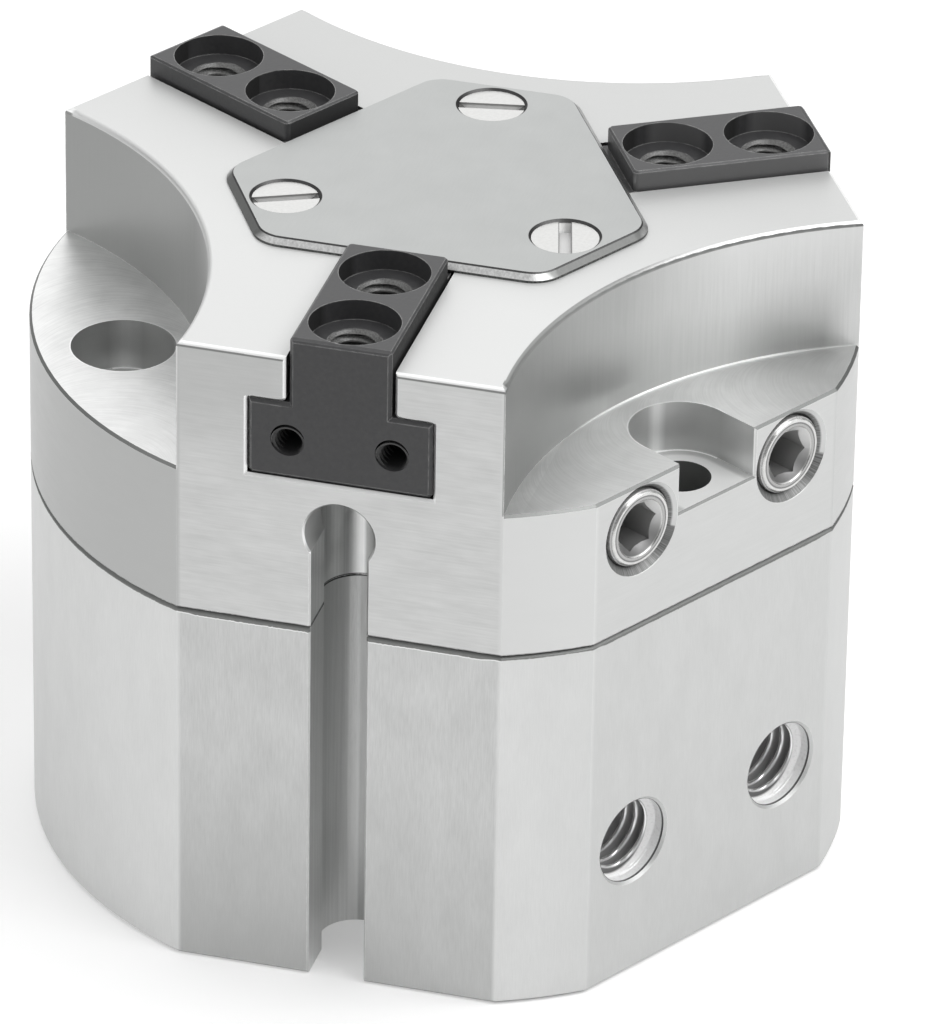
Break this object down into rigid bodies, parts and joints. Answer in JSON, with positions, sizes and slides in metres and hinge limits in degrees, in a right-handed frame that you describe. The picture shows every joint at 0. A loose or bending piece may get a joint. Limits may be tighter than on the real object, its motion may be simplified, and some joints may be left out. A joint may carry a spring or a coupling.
{
  "type": "three-jaw gripper",
  "caption": "Compact round air gripper with three dark jaws that slide radially in T-slots, air ports on a side flat and keyhole sensor slots.",
  "frame": {"origin": "centre of the base face, where the three mounting holes' circle is centred", "axes": "+Z along the body's axis from the base face to the jaws; the first jaw opens along -Y"},
  "size_m": [0.046, 0.0441, 0.0398],
  "materials": {
    "housing_aluminium": "bare, finely turned and milled",
    "cap_aluminium": "bare, finely milled",
    "inner_aluminium": "bare, turned",
    "plate_steel": "satin, ground",
    "screw_steel": "bright",
    "plug_steel": "bright zinc plate",
    "jaw_steel": "black oxide, satin",
    "drive_steel": "hardened, ground",
    "dark_steel": "black oxide",
    "magnet": "matte",
    "seal_rubber": "matte",
    "stop_rubber": "matte",
    "bush_bronze": "turned"
  },
  "bodies": {
    "gripper_body": {"housing": "housing_aluminium", "guide_cap": "cap_aluminium", "cover_plate": "plate_steel", "cover_screws": "screw_steel", "port_plugs": "plug_steel", "body_screws": "dark_steel", "locating_pins": "drive_steel", "end_cap": "inner_aluminium", "end_cap_o_ring": "seal_rubber", "lower_stop_ring": "stop_rubber", "retaining_ring": "dark_steel", "rod_guide": "inner_aluminium", "rod_guide_o_ring": "seal_rubber", "upper_stop_ring": "stop_rubber", "rod_seal": "seal_rubber", "rod_bush": "bush_bronze", "lever_carrier": "inner_aluminium", "lever_pins": "drive_steel"},
    "piston_body": {"piston_lower": "inner_aluminium", "piston_upper": "inner_aluminium", "piston_magnet": "magnet", "piston_seals": "seal_rubber", "piston_rod": "drive_steel", "piston_screw": "dark_steel"},
    "lever_a_body": {"lever_a": "drive_steel"},
    "jaw_a_body": {"jaw_a": "jaw_steel"},
    "lever_b_body": {"lever_b": "drive_steel"},
    "jaw_b_body": {"jaw_b": "jaw_steel"},
    "lever_c_body": {"lever_c": "drive_steel"},
    "jaw_c_body": {"jaw_c": "jaw_steel"}
  },
  "joints": [
    {"name": "piston_slide", "type": "slide", "parent": "gripper_body", "child": "piston_body", "axis": [0, 0, 1], "range_m": [0, 0.00208]},
    {"name": "lever_a_swing", "type": "hinge", "parent": "gripper_body", "child": "lever_a_body", "pos_m": [0, -0.00953, 0.0269], "axis": [1, 0, 0], "range_deg": [0, 24.05]},
    {"name": "jaw_a_slide", "type": "slide", "parent": "gripper_body", "child": "jaw_a_body", "axis": [0, -1, 0], "range_m": [0, 0.0025]},
    {"name": "lever_b_swing", "type": "hinge", "parent": "gripper_body", "child": "lever_b_body", "pos_m": [0.00825, 0.00477, 0.0269], "axis": [-0.5, 0.866, 0], "range_deg": [0, 24.05]},
    {"name": "jaw_b_slide", "type": "slide", "parent": "gripper_body", "child": "jaw_b_body", "axis": [0.866, 0.5, 0], "range_m": [0, 0.0025]},
    {"name": "lever_c_swing", "type": "hinge", "parent": "gripper_body", "child": "lever_c_body", "pos_m": [-0.00825, 0.00477, 0.0269], "axis": [-0.5, -0.866, 0], "range_deg": [0, 24.05]},
    {"name": "jaw_c_slide", "type": "slide", "parent": "gripper_body", "child": "jaw_c_body", "axis": [-0.866, 0.5, 0], "range_m": [0, 0.0025]}
  ],
  "couplings": [
    {"joint": "lever_a_swing", "follows": "piston_slide", "rad_per_m": 201.48},
    {"joint": "jaw_a_slide", "follows": "piston_slide", "ratio": 1.2},
    {"joint": "lever_b_swing", "follows": "piston_slide", "rad_per_m": 201.48},
    {"joint": "jaw_b_slide", "follows": "piston_slide", "ratio": 1.2},
    {"joint": "lever_c_swing", "follows": "piston_slide", "rad_per_m": 201.48},
    {"joint": "jaw_c_slide", "follows": "piston_slide", "ratio": 1.2}
  ]
}
